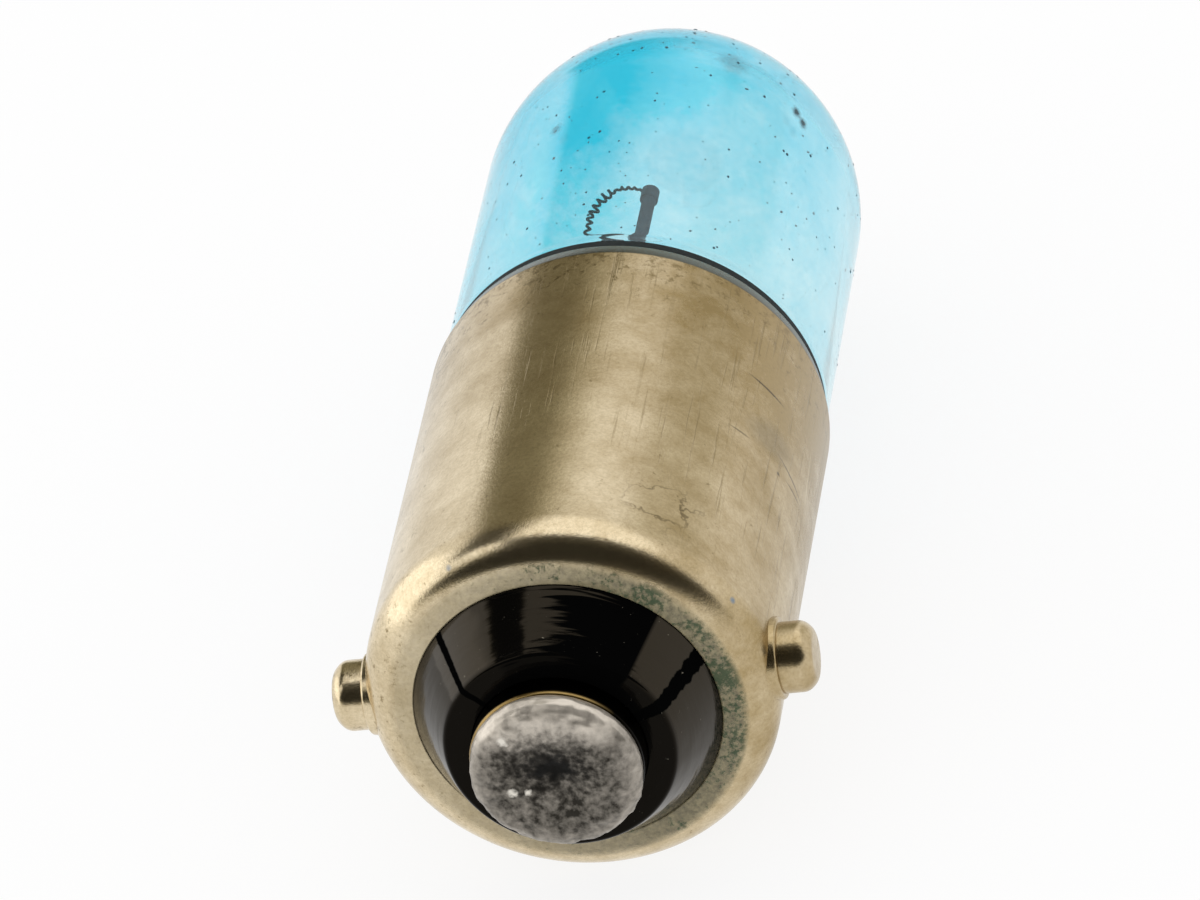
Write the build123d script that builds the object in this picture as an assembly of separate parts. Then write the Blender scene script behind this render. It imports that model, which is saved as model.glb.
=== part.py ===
from build123d import *
import math
import os

os.makedirs("parts", exist_ok=True)

# Driving dimensions, in millimetres.
# Heights run along the bulb's axis from the flat end of the cap, positive towards the dome.

# Cap: a drawn cup with a rounded shoulder at the closed end and a turned-in lip at the mouth
cap_radius = 4.575
cap_length = 11.70
cap_wall = 0.22
shoulder_radius = 1.00
end_flat = 0.195
lip_height = 0.44
lip_turn_in = 0.11

# Bayonet pins: round heads on thinner shanks, each seated on a flat raised collar of the cap
pin_radius = 0.785
pin_length = 0.735
pin_height = 1.36
pin_chamfer = 0.22
pin_shank_radius = 0.50
pin_shank_depth = 0.90
collar_rise = 0.065
collar_margin = 0.20
collar_flare = 0.12

# Insulator: black glass that fills the closed end and stands out of it as a cone
insulator_cover = 0.555
cone_height = 1.385
cone_inset = 0.85
cone_edge_round = 0.12
wire_hole_radius = 0.42

# End contact: a brass disc let into the insulator, with a solder dome that has a shallow pit
contact_radius = 1.915
contact_stand = 0.565
contact_inset = 0.285
contact_edge_round = 0.10
solder_foot_inset = 0.115
solder_height = 0.57
solder_crown_radius = 0.99
solder_pit = 0.09
solder_plug = 0.45

# Glass: tube with a dome, a shoulder that stands over the lip, a neck in the cement and a sealed end
glass_inset = 0.155
glass_wall = 0.45
glass_stand = 12.45
glass_shoulder_stand = 0.42
glass_shoulder_round = 0.50
neck_round = 0.30
flare_height = 1.30
seal_thickness = 1.05
seal_round = 1.42
seal_inside_round = 1.12
tip_radius = 0.70
tip_length = 1.05
tip_gap = 1.85

# Filament mount: two leads tied by a bead, off the axis of the glass
lead_radius = 0.15
lead_contact_x = -0.02
lead_contact_up = 1.59
lead_side_x = -1.00
lead_side_up = 0.27
lead_tip_depth = 6.33
lead_side_drop = 0.95
clamp_radius = 0.20
clamp_height = 0.40
bead_drop = 4.22
bead_margin = 0.40
bead_thickness = 1.10
bead_round = 0.32
filament_radius = 0.085
filament_sag_x = -0.57
filament_sag_up = 0.29
filament_rise = 0.35

# Leads below the seal: one runs to the end contact, the other bends back up and out through the cap
wire_bend = 0.30
contact_turn_gap = 0.70
contact_turn_drop = 0.60
contact_lead_cover = 0.20
side_angle = 215.0
side_turn_gap = 1.00
side_turn_rise = 1.00
side_exit_depth = 1.15
side_lead_stand = 0.12

# Cement ring and the spot of solder over the side lead
cement_gap = 1.00
cement_set_back = 0.14
side_solder_radius = 0.80
side_solder_height = 0.42

# Derived sizes
cap_bore = cap_radius - cap_wall
lip_start = cap_length - lip_height
opening_radius = cap_radius - shoulder_radius - end_flat
collar_top = cap_radius + collar_rise
collar_radius = pin_radius + collar_margin
insulator_top = pin_height + pin_radius + insulator_cover
land_radius = opening_radius - cone_inset
land_height = -cone_height
contact_front = land_height - contact_stand
contact_back = land_height + contact_inset
solder_foot_radius = contact_radius - solder_foot_inset
solder_crown_height = contact_front - solder_height
solder_pit_height = solder_crown_height + solder_pit
solder_plug_height = contact_front + solder_plug
glass_radius = cap_radius - glass_inset
glass_top = cap_length + glass_stand
dome_start = glass_top - glass_radius
glass_shoulder = cap_length + glass_shoulder_stand
neck_top = glass_shoulder - glass_shoulder_round - neck_round
neck_radius = glass_radius - glass_shoulder_round - neck_round
bulb_bore = glass_radius - glass_wall
neck_bore = neck_radius - glass_wall
tip_height = insulator_top + tip_gap
seal_height = tip_height + tip_length
seal_inside = seal_height + seal_thickness
seal_radius = neck_radius - seal_round
seal_inside_radius = neck_bore - seal_inside_round
lead_tip = glass_top - lead_tip_depth
lead_side_tip = lead_tip - lead_side_drop
bead_height = lead_tip - bead_drop
contact_turn_height = tip_height - contact_turn_gap
side_turn_height = seal_height - side_turn_gap
side_exit_height = cap_length - side_exit_depth
side_lead_offset = (neck_radius + cap_bore) / 2
cement_bottom = seal_height + cement_gap
cement_top = cap_length - cement_set_back
axis_shift = -(glass_top + solder_crown_height) / 2


def turned(*edges):
    """A solid of revolution about the bulb's axis. The edges close in the radius and height plane."""
    return revolve(Plane.XZ * make_face(list(edges)), Axis.Z)


def chain(*points):
    """Straight edges through points in the radius and height plane."""
    return [Line(p, q) for p, q in zip(points, points[1:])]


def spot(x, up, height):
    """A point from its offset to the right, its offset upwards and its height along the axis."""
    return (x, -up, height)


def wire(radius, points):
    """A round wire along a path with bent corners."""
    path = FilletPolyline(*points, radius=wire_bend)
    return sweep(Plane(path @ 0, z_dir=path % 0) * Circle(radius), path)


def place(solid):
    """Lay the bulb on its side, dome along +Y, with the cap resting on the floor."""
    return Pos(0, axis_shift, cap_radius) * Rot(-90, 0, 0) * solid


# Cap
cap_solid = turned(
    Line((0, 0), (cap_radius - shoulder_radius, 0)),
    CenterArc((cap_radius - shoulder_radius, shoulder_radius), shoulder_radius, 270, 90),
    *chain(
        (cap_radius, shoulder_radius),
        (cap_radius, lip_start),
        (cap_radius - lip_turn_in, cap_length),
        (0, cap_length),
        (0, 0),
    ),
)
cap_cavity = turned(
    Line((0, cap_wall), (cap_radius - shoulder_radius, cap_wall)),
    CenterArc((cap_radius - shoulder_radius, shoulder_radius), shoulder_radius - cap_wall, 270, 90),
    *chain(
        (cap_bore, shoulder_radius),
        (cap_bore, lip_start),
        (cap_bore - lip_turn_in, cap_length),
        (0, cap_length),
        (0, cap_wall),
    ),
)

# Pins and their collars
pins = {}
collars = []
for name, way in (("right", 1), ("left", -1)):
    radial = Plane((0, 0, pin_height), x_dir=(0, 0, 1), z_dir=(way, 0, 0))
    shank = radial.offset(cap_bore - pin_shank_depth) * Circle(pin_shank_radius)
    shank = extrude(shank, collar_top - cap_bore + pin_shank_depth)
    head = extrude(radial.offset(collar_top) * Circle(pin_radius), pin_length)
    tip = head.edges().group_by(Axis.X)[-1 if way > 0 else 0]
    pins[name] = shank + chamfer(tip, pin_chamfer)
    foot = radial.offset(cap_bore - pin_shank_depth) * Circle(collar_radius + collar_flare)
    top = radial.offset(collar_top) * Circle(collar_radius)
    collars.append(loft([foot.face(), top.face()]))

side_way = (math.sin(math.radians(side_angle)), -math.cos(math.radians(side_angle)))
side_plane = Plane((0, 0, side_exit_height), z_dir=(side_way[0], side_way[1], 0))
side_hole = extrude(side_plane * Circle(lead_radius), cap_radius + lip_height)

opening = Pos(0, 0, cap_wall / 2) * Cylinder(opening_radius, cap_wall)
cap_shell = cap_solid + collars - cap_cavity - opening - side_hole
for pin in pins.values():
    cap_shell -= pin

# Insulator
insulator = turned(
    *chain(
        (wire_hole_radius, contact_back),
        (wire_hole_radius, insulator_top),
        (cap_bore, insulator_top),
        (cap_bore, shoulder_radius),
    ),
    CenterArc((cap_radius - shoulder_radius, shoulder_radius), shoulder_radius - cap_wall, 270, 90),
    *chain(
        (cap_radius - shoulder_radius, cap_wall),
        (opening_radius, cap_wall),
        (opening_radius, 0),
        (land_radius, land_height),
        (contact_radius, land_height),
        (contact_radius, contact_back),
        (wire_hole_radius, contact_back),
    ),
)
land_edge = insulator.edges().filter_by(GeomType.CIRCLE)
land_edge = [e for e in land_edge if abs(e.radius - land_radius) < 0.001]
insulator = fillet(land_edge, cone_edge_round)
for pin in pins.values():
    insulator -= pin

# End contact and its solder
contact_eyelet = turned(
    *chain(
        (wire_hole_radius, contact_front),
        (wire_hole_radius, contact_back),
        (contact_radius, contact_back),
        (contact_radius, contact_front + contact_edge_round),
    ),
    CenterArc(
        (contact_radius - contact_edge_round, contact_front + contact_edge_round), contact_edge_round, 270, 90
    ),
    Line((contact_radius - contact_edge_round, contact_front), (wire_hole_radius, contact_front)),
)
crown = (solder_crown_radius, solder_crown_height)
contact_solder = turned(
    *chain(
        (0, solder_pit_height),
        (0, solder_plug_height),
        (wire_hole_radius, solder_plug_height),
        (wire_hole_radius, contact_front),
        (solder_foot_radius, contact_front),
    ),
    Spline((solder_foot_radius, contact_front), crown, tangents=((0.5, -1), (-1, 0))),
    Spline(crown, (0, solder_pit_height), tangents=((-1, 0), (-1, 0))),
)

# Leads
side_lead_end = cap_radius + side_lead_stand
contact_lead_path = [
    spot(lead_contact_x, lead_contact_up, lead_tip),
    spot(lead_contact_x, lead_contact_up, contact_turn_height),
    spot(0, 0, contact_turn_height - contact_turn_drop),
    spot(0, 0, contact_front - contact_lead_cover),
]
side_lead_path = [
    spot(lead_side_x, lead_side_up, lead_side_tip),
    spot(lead_side_x, lead_side_up, side_turn_height),
    (side_way[0] * side_lead_offset, side_way[1] * side_lead_offset, side_turn_height + side_turn_rise),
    (side_way[0] * side_lead_offset, side_way[1] * side_lead_offset, side_exit_height),
    (side_way[0] * side_lead_end, side_way[1] * side_lead_end, side_exit_height),
]
filament_end = lead_tip - clamp_height / 2
filament_mid_x = (lead_contact_x + lead_side_x) / 2 + filament_sag_x
filament_mid_up = (lead_contact_up + lead_side_up) / 2 + filament_sag_up
filament_path = ThreePointArc(
    spot(lead_contact_x, lead_contact_up, filament_end),
    spot(filament_mid_x, filament_mid_up, filament_end + filament_rise),
    spot(lead_side_x, lead_side_up, lead_side_tip - clamp_height / 2),
)
filament = sweep(Plane(filament_path @ 0, z_dir=filament_path % 0) * Circle(filament_radius), filament_path)
leads = {}
for name, path in (("contact", contact_lead_path), ("side", side_lead_path)):
    clamp = Pos(path[0]) * Pos(0, 0, -clamp_height / 2) * Cylinder(clamp_radius, clamp_height)
    leads[name] = wire(lead_radius, path) + clamp - filament

# Bead that ties the leads together
bead_line = Line(spot(lead_contact_x, lead_contact_up, bead_height), spot(lead_side_x, lead_side_up, bead_height))
bead_turn = math.degrees(math.atan2((bead_line % 0).Y, (bead_line % 0).X))
bead_middle = bead_line @ 0.5
bead_outline = Rot(0, 0, bead_turn) * SlotCenterToCenter(bead_line.length, 2 * (lead_radius + bead_margin))
glass_bead = Pos(bead_middle.X, bead_middle.Y, bead_height) * extrude(bead_outline, bead_thickness)
glass_bead = fillet(glass_bead.edges(), bead_round)
for lead in leads.values():
    glass_bead -= lead

# Glass envelope
glass_solid = turned(
    CenterArc((0, tip_height + tip_radius), tip_radius, 270, 90),
    *chain((tip_radius, tip_height + tip_radius), (tip_radius, seal_height), (seal_radius, seal_height)),
    CenterArc((seal_radius, seal_height + seal_round), seal_round, 270, 90),
    Line((neck_radius, seal_height + seal_round), (neck_radius, neck_top)),
    CenterArc((neck_radius + neck_round, neck_top), neck_round, 180, -90),
    CenterArc((glass_radius - glass_shoulder_round, glass_shoulder), glass_shoulder_round, 270, 90),
    Line((glass_radius, glass_shoulder), (glass_radius, dome_start)),
    CenterArc((0, dome_start), glass_radius, 0, 90),
    Line((0, glass_top), (0, tip_height)),
)
glass_cavity = turned(
    Line((0, seal_inside), (seal_inside_radius, seal_inside)),
    CenterArc((seal_inside_radius, seal_inside + seal_inside_round), seal_inside_round, 270, 90),
    Line((neck_bore, seal_inside + seal_inside_round), (neck_bore, neck_top)),
    Bezier(
        (neck_bore, neck_top),
        (neck_bore, neck_top + flare_height / 2),
        (bulb_bore, neck_top + flare_height / 2),
        (bulb_bore, neck_top + flare_height),
    ),
    Line((bulb_bore, neck_top + flare_height), (bulb_bore, dome_start)),
    CenterArc((0, dome_start), bulb_bore, 0, 90),
    Line((0, glass_top - glass_wall), (0, seal_inside)),
)
glass_envelope = glass_solid - glass_cavity
for lead in leads.values():
    glass_envelope -= lead

# Cement ring between the neck and the cap
cement_top_radius = cap_bore - lip_turn_in * (cement_top - lip_start) / lip_height
basing_cement = turned(
    *chain(
        (0, cement_bottom),
        (cap_bore, cement_bottom),
        (cap_bore, lip_start),
        (cement_top_radius, cement_top),
        (0, cement_top),
        (0, cement_bottom),
    ),
)
basing_cement = basing_cement - glass_solid - leads["side"]

# Spot of solder over the side lead
ball_radius = (side_solder_radius**2 + side_solder_height**2) / (2 * side_solder_height)
ball_reach = cap_radius + side_solder_height - ball_radius
ball_centre = Pos(side_way[0] * ball_reach, side_way[1] * ball_reach, side_exit_height)
side_solder = ball_centre * Sphere(ball_radius) - cap_solid - leads["side"]

contact_solder -= leads["contact"]

nodes = {
    "cap_shell": cap_shell,
    "bayonet_pin_right": pins["right"],
    "bayonet_pin_left": pins["left"],
    "insulator": insulator,
    "contact_eyelet": contact_eyelet,
    "contact_solder": contact_solder,
    "glass_envelope": glass_envelope,
    "glass_bead": glass_bead,
    "lead_wire_contact": leads["contact"],
    "lead_wire_side": leads["side"],
    "filament": filament,
    "basing_cement": basing_cement,
    "side_solder": side_solder,
}
for name, solid in nodes.items():
    export_step(place(solid), f"parts/{name}.step")
    print(name, len(solid.solids()), "solid", round(solid.volume, 3), "mm3", solid.is_valid)
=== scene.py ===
# %% [markdown]
# # A miniature twist-lock bulb
# This lesson dresses a solid model of a small filament bulb. The bulb has a blue glass tube, a plated cap with two
# side pins, a black glass end and a soldered contact. The solid model gives every place and size. The cells below
# add the fine shapes, the finishes, the light and the camera.

# %% Load the solid model
import math

import bmesh
import bpy
from mathutils import Matrix, Vector, noise


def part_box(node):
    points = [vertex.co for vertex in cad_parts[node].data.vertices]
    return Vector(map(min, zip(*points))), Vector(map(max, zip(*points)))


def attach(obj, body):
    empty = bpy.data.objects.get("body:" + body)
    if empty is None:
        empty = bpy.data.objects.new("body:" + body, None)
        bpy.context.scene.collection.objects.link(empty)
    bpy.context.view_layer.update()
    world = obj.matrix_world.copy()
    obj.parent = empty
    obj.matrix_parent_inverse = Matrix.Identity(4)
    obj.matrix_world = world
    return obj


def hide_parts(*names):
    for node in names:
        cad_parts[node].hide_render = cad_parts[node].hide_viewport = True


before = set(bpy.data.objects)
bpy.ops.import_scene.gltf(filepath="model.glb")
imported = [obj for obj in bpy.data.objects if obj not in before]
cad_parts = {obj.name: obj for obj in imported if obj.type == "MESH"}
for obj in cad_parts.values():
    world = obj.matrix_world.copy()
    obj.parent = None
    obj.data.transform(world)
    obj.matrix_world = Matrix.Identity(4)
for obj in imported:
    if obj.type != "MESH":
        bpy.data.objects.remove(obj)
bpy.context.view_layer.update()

# %% [markdown]
# ## Sizes
# The bulb lies on its side. Its axis runs along +Y, and heights are counted from the flat end of the cap towards the
# dome. A turned part is easiest to think of as pairs of radius and height, so all sizes are kept in millimetres and
# become metres only when a mesh is made. The cap's own sizes are read from the solid model.

# %% Sizes of the turned parts, in millimetres
MM = 0.001
low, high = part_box("cap_shell")
AXIS_Z = (low.z + high.z) / 2 / MM
END_Y = low.y / MM
CAP_RADIUS = (high.z - low.z) / 2 / MM
CAP_LENGTH = (high.y - low.y) / MM
CAP_WALL = 0.22
CAP_BORE = CAP_RADIUS - CAP_WALL
SHOULDER = 1.0
LIP_START = CAP_LENGTH - 0.44
LIP_TURN_IN = 0.11
OPENING = 3.38
CONE_FOOT = 2.53
CONE_HEIGHT = 1.385
CONTACT_RADIUS = 1.915
CONTACT_FRONT = -1.95
GLASS_RADIUS = 4.42
GLASS_WALL = 0.45
GLASS_TOP = 24.15
DOME_HEIGHT = GLASS_TOP - GLASS_RADIUS
PIN_RADIUS = 0.785
PIN_HEIGHT = 1.36
PIN_END = 5.375
COLLAR_TOP = CAP_RADIUS + 0.065
print("axis at", round(AXIS_Z, 3), "cap end at", round(END_Y, 3))
print("cap radius", round(CAP_RADIUS, 3), "length", round(CAP_LENGTH, 2))

# %% [markdown]
# ## Helpers for finishes
# Colours are written as the familiar sRGB hex values, and Blender's shaders want linear numbers, so one function
# turns the first into the second. The next two add one node: its settings go in by name, and each input takes a
# value, a hex colour or another node. Every finish then starts from the place on the bulb in millimetres, so the
# size of a pattern can be read straight from its scale: scale 2 means features half a millimetre across.

# %% Colour and node helpers
def linear(hex_colour):
    """An sRGB hex colour as the linear RGBA that shaders use."""
    parts = [int(hex_colour[i:i + 2], 16) / 255 for i in (1, 3, 5)]
    return tuple(c / 12.92 if c <= 0.04045 else ((c + 0.055) / 1.055) ** 2.4 for c in parts) + (1.0,)


def feed(tree, node, inputs):
    """Gives a node its inputs. A hex colour becomes linear, and a node stands for its first output in use."""
    for key, value in inputs.items():
        if isinstance(value, bpy.types.Node):
            value = next(output for output in value.outputs if output.enabled)
        if isinstance(value, bpy.types.NodeSocket):
            tree.links.new(value, node.inputs[key])
        else:
            node.inputs[key].default_value = linear(value) if isinstance(value, str) else value


def add(tree, kind, inputs=None, **settings):
    """One new node with its settings and inputs."""
    made = tree.nodes.new(kind)
    for name, value in settings.items():
        setattr(made, name, value)
    feed(tree, made, inputs or {})
    return made


def emptied(owner):
    """The node tree of a new material or world, without the nodes that it comes with."""
    owner.use_nodes = True
    owner.node_tree.nodes.clear()
    return owner.node_tree


def finish_named(name):
    """A new material, its tree, its shader, and the place in millimetres from the bulb's axis and the cap's end."""
    made = bpy.data.materials.new(name)
    tree = emptied(made)
    shader = add(tree, "ShaderNodeBsdfPrincipled")
    add(tree, "ShaderNodeOutputMaterial", {"Surface": shader})
    place = add(tree, "ShaderNodeTexCoord")
    place = add(tree, "ShaderNodeMapping", {
        "Vector": place.outputs["Object"], "Location": (0, -END_Y, -AXIS_Z), "Scale": (1000, 1000, 1000)})
    return made, tree, shader, place


def mark_at(tree, mm, centre, radii, ragged):
    """How much a point lies in a ragged oval mark: 1 in its middle and 0 outside it."""
    shifted = add(tree, "ShaderNodeVectorMath", {0: mm, 1: centre}, operation="SUBTRACT")
    shifted = add(tree, "ShaderNodeVectorMath", {0: shifted, 1: radii}, operation="DIVIDE")
    reach = add(tree, "ShaderNodeVectorMath", {0: shifted}, operation="LENGTH")
    # the noise is about 0.5, so it adds about 0.7, and the mark fades out from 0.4 to 1.2 of its radii
    reach = add(tree, "ShaderNodeMath", {0: ragged, 1: 1.4, 2: reach}, operation="MULTIPLY_ADD")
    return add(tree, "ShaderNodeMapRange", {"Value": reach, "From Min": 1.9, "From Max": 1.1})


print("plated brass in linear:", [round(c, 3) for c in linear("#EEDEBE")])

# %% [markdown]
# ## Nickel plated brass
# The cap is drawn from brass sheet and plated with a thin coat of nickel. Handling has worn it to a warm satin: it
# still mirrors the studio, but softly, and air has left cloudy tarnish on it, darker towards the glass. Scratches run
# along the cap, because that is the way it slides into its holder.

# %% Plated brass: tarnish, grain and scratches
plated, tree, shader, mm = finish_named("nickel_plated_brass")
x, y, z = add(tree, "ShaderNodeSeparateXYZ", {"Vector": mm}).outputs
# clouds a little over 1 mm across with finer clouds in them, darker near the glass, and darker on the right as painted
# shade
cloud = add(tree, "ShaderNodeTexNoise", {
    "Vector": mm, "Scale": 0.75, "Detail": 9.0, "Roughness": 0.72, "Distortion": 0.2})
upper = add(tree, "ShaderNodeMapRange", {"Value": y, "From Min": 4.0, "From Max": 9.5, "To Max": 0.20})
# painted shade: the right side of the cap is darkened; the same mask puts more scratches there
right = add(tree, "ShaderNodeMapRange", {"Value": x, "From Min": 1.0, "From Max": 3.8, "To Max": 0.26})
dull = cloud
for more in (upper, right):
    dull = add(tree, "ShaderNodeMath", {0: dull, 1: more}, operation="ADD")
dull = add(tree, "ShaderNodeMapRange", {"Value": dull, "From Min": 0.26, "From Max": 0.94})
tone = add(tree, "ShaderNodeMix", {"Factor": dull, "A": "#EEDEBE", "B": "#A28C60"}, data_type="RGBA")
# grain of about 0.07 mm and scattered specks of dirt
grain = add(tree, "ShaderNodeTexNoise", {"Vector": mm, "Scale": 13.0, "Detail": 3.0, "Roughness": 0.7})
specks = add(tree, "ShaderNodeTexNoise", {"Vector": mm, "Scale": 4.0, "Detail": 4.0, "Roughness": 0.75})
near_lip = add(tree, "ShaderNodeMapRange", {"Value": y, "From Min": 8.8, "From Max": 11.2, "To Max": 0.13})
on_left = add(tree, "ShaderNodeMapRange", {"Value": x, "From Min": -2.4, "From Max": -3.6, "To Max": 0.06})
for more in (near_lip, on_left):
    specks = add(tree, "ShaderNodeMath", {0: specks, 1: more}, operation="ADD")
specks = add(tree, "ShaderNodeMapRange", {"Value": specks, "From Min": 0.62, "From Max": 0.74, "To Max": 0.8})
fleck = add(tree, "ShaderNodeMapRange", {"Value": grain, "From Min": 0.40, "From Max": 0.75, "To Max": 0.30})
dirt = add(tree, "ShaderNodeMath", {0: specks, 1: fleck}, operation="MAXIMUM")
tone = add(tree, "ShaderNodeMix", {"Factor": dirt, "A": tone, "B": "#7D6A42"}, data_type="RGBA")
# scratches: a pattern stretched along the wall's own map, 0.05 mm wide and several millimetres long
wall = add(tree, "ShaderNodeUVMap", uv_map="wall_mm")
drawn = add(tree, "ShaderNodeMapping", {"Vector": wall, "Scale": (9.0, 0.30, 1.0), "Rotation": (0, 0, 0.10)})
lines = add(tree, "ShaderNodeTexNoise", {"Vector": drawn, "Scale": 1.0, "Detail": 4.0, "Roughness": 0.6})
lines = add(tree, "ShaderNodeMapRange", {"Value": lines, "From Min": 0.58, "From Max": 0.68})
worn = add(tree, "ShaderNodeTexNoise", {"Vector": mm, "Scale": 0.30, "Detail": 2.0})
worn = add(tree, "ShaderNodeMath", {0: worn, 1: right}, operation="ADD")
worn = add(tree, "ShaderNodeMapRange", {"Value": worn, "From Min": 0.48, "From Max": 0.70})
straight = add(tree, "ShaderNodeMapRange", {"Value": y, "From Min": 0.7, "From Max": 1.6})
for part in (worn, straight):
    lines = add(tree, "ShaderNodeMath", {0: lines, 1: part}, operation="MULTIPLY")
scratch = add(tree, "ShaderNodeMath", {0: lines, 1: 0.5}, operation="MULTIPLY")
tone = add(tree, "ShaderNodeMix", {"Factor": scratch, "A": tone, "B": "#75633C"}, data_type="RGBA")
# single knocks on the right, placed on the wall as if it were rolled out flat: across from the top, and along
across = add(tree, "ShaderNodeMath", {0: x, 1: z}, operation="ARCTAN2")
across = add(tree, "ShaderNodeMath", {0: across, 1: CAP_RADIUS}, operation="MULTIPLY")
flat = add(tree, "ShaderNodeCombineXYZ", {"X": across, "Y": y})
shaky = add(tree, "ShaderNodeVectorMath", {
    0: grain.outputs["Color"], 1: (0.05, 0.05, 0.0), 2: flat}, operation="MULTIPLY_ADD")
for place, lean, size, depth, colour in (
    ((5.2, 7.0), 0.36, (0.95, 0.60), 0.35, "#5E5236"),
    ((4.8, 8.5), 0.04, (0.66, 0.040), 0.85, "#3A2F18"),
    ((6.1, 6.7), -0.15, (0.68, 0.040), 0.70, "#43371D"),
    ((6.3, 6.4), 0.11, (0.44, 0.030), 0.70, "#43371D"),
    ((4.25, 6.25), 0.13, (0.34, 0.035), 0.55, "#43371D"),
    ((5.6, 6.2), -0.34, (0.07, 0.06), 0.80, "#3A2F18"),
    ((6.9, 7.8), -1.47, (1.10, 0.025), 0.50, "#D9CBA6"),
):
    near = add(tree, "ShaderNodeMapping", {
        "Vector": shaky, "Location": (*place, 0), "Rotation": (0, 0, lean), "Scale": (*size, 1)}, vector_type="TEXTURE")
    near = add(tree, "ShaderNodeVectorMath", {0: near}, operation="LENGTH")
    knock = add(tree, "ShaderNodeMapRange", {"Value": near, "From Min": 1.1, "From Max": 0.5, "To Max": depth})
    tone = add(tree, "ShaderNodeMix", {"Factor": knock, "A": tone, "B": colour}, data_type="RGBA")
print("made", plated.name, "with", len(tree.nodes), "nodes so far")

# %% [markdown]
# Round the closed end, flux and damp have dulled the plating and left a green bloom in fine grains, thickest on the
# right. A thin brown stain has dried near the shoulder. The lip that holds the glass is painted grey green as a
# reflection of the dark horizon, darkest at its foot as painted shade.

# %% Plated brass: green bloom, stain and lip
reach = add(tree, "ShaderNodeMapRange", {"Value": y, "From Min": 0.08, "From Max": 0.03})
flat_end = add(tree, "ShaderNodeMapRange", {"Value": y, "From Min": 0.09, "From Max": 0.02})
side = add(tree, "ShaderNodeMapRange", {"Value": x, "From Min": -3.5, "From Max": 3.4, "To Min": -0.10, "To Max": 0.14})
worn_end = add(tree, "ShaderNodeMapRange", {
    "Value": x, "From Min": -3.5, "From Max": 1.8, "To Min": 0.30, "To Max": 0.90})
soft = add(tree, "ShaderNodeMath", {0: flat_end, 1: worn_end}, operation="MULTIPLY")
mottle = add(tree, "ShaderNodeTexNoise", {"Vector": mm, "Scale": 6.0, "Detail": 5.0, "Roughness": 0.7})
mottle = add(tree, "ShaderNodeMapRange", {"Value": mottle, "From Min": 0.36, "From Max": 0.66})
grey = add(tree, "ShaderNodeMix", {"Factor": mottle, "A": "#8C8364", "B": "#4A4632"}, data_type="RGBA")
tone = add(tree, "ShaderNodeMix", {"Factor": soft, "A": tone, "B": grey}, data_type="RGBA")
bloom = add(tree, "ShaderNodeTexNoise", {"Vector": mm, "Scale": 8.0, "Detail": 5.0, "Roughness": 0.7})
patchy = add(tree, "ShaderNodeTexNoise", {"Vector": mm, "Scale": 0.9, "Detail": 2.0})
bloom = add(tree, "ShaderNodeMath", {0: patchy, 1: 0.6, 2: bloom}, operation="MULTIPLY_ADD")
bloom = add(tree, "ShaderNodeMath", {0: bloom, 1: side}, operation="ADD")
bloom = add(tree, "ShaderNodeMapRange", {"Value": bloom, "From Min": 0.91, "From Max": 1.03, "To Max": 0.85})
bloom = add(tree, "ShaderNodeMath", {0: bloom, 1: reach}, operation="MULTIPLY")
tone = add(tree, "ShaderNodeMix", {"Factor": bloom, "A": tone, "B": "#33492D"}, data_type="RGBA")
bent = add(tree, "ShaderNodeTexNoise", {"Vector": mm, "Scale": 2.2, "Detail": 3.0, "Roughness": 0.6})
bent = add(tree, "ShaderNodeVectorMath", {
    0: bent.outputs["Color"], 1: (0.9, 0.9, 0.9), 2: mm}, operation="MULTIPLY_ADD")
crack = add(tree, "ShaderNodeTexVoronoi", {"Vector": bent, "Scale": 0.85}, feature="DISTANCE_TO_EDGE")
crack = add(tree, "ShaderNodeMapRange", {"Value": crack, "From Min": 0.035, "From Max": 0.010, "To Max": 0.75})
dried = mark_at(tree, mm, (2.6, 2.1, 3.7), (0.9, 0.9, 0.9), cloud)
stain = add(tree, "ShaderNodeMath", {0: crack, 1: dried}, operation="MULTIPLY")
tone = add(tree, "ShaderNodeMix", {"Factor": stain, "A": tone, "B": "#5A4A2C"}, data_type="RGBA")
# two flecks of the blue lacquer
for centre in ((-1.95, 0.25, 3.9), (4.05, 0.62, 2.14)):
    fleck = mark_at(tree, mm, centre, (0.10, 0.10, 0.10), cloud)
    tone = add(tree, "ShaderNodeMix", {"Factor": fleck, "A": tone, "B": "#2F6F9A"}, data_type="RGBA")
# painted reflection on the lip, grey green, with painted shade at its foot
lip = add(tree, "ShaderNodeMapRange", {"Value": y, "From Min": LIP_START - 0.04, "From Max": LIP_START + 0.02})
lip_reflection_tone = add(tree, "ShaderNodeMapRange", {"Value": y, "From Min": LIP_START, "From Max": CAP_LENGTH - 0.05})
lip_reflection_tone = add(tree, "ShaderNodeMix", {"Factor": lip_reflection_tone, "A": "#2E3427", "B": "#4B5240"}, data_type="RGBA")
tone = add(tree, "ShaderNodeMix", {"Factor": lip, "A": tone, "B": lip_reflection_tone}, data_type="RGBA")
metal = add(tree, "ShaderNodeMath", {0: bloom, 1: soft}, operation="MAXIMUM")
metal = add(tree, "ShaderNodeMath", {0: 1.0, 1: metal}, operation="SUBTRACT")
gloss = add(tree, "ShaderNodeMapRange", {"Value": dull, "To Min": 0.16, "To Max": 0.28})
gloss = add(tree, "ShaderNodeMath", {0: bloom, 1: 0.5, 2: gloss}, operation="MULTIPLY_ADD")
relief = add(tree, "ShaderNodeMath", {0: lines, 1: -0.6, 2: bloom}, operation="MULTIPLY_ADD")
relief = add(tree, "ShaderNodeMath", {0: grain, 1: 0.55, 2: relief}, operation="MULTIPLY_ADD")
relief = add(tree, "ShaderNodeBump", {"Height": relief, "Strength": 0.3, "Distance": 0.00002})
feed(tree, shader, {"Base Color": tone, "Metallic": metal, "Roughness": gloss, "Normal": relief})
print("made", plated.name, "with", len(tree.nodes), "nodes")
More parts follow.
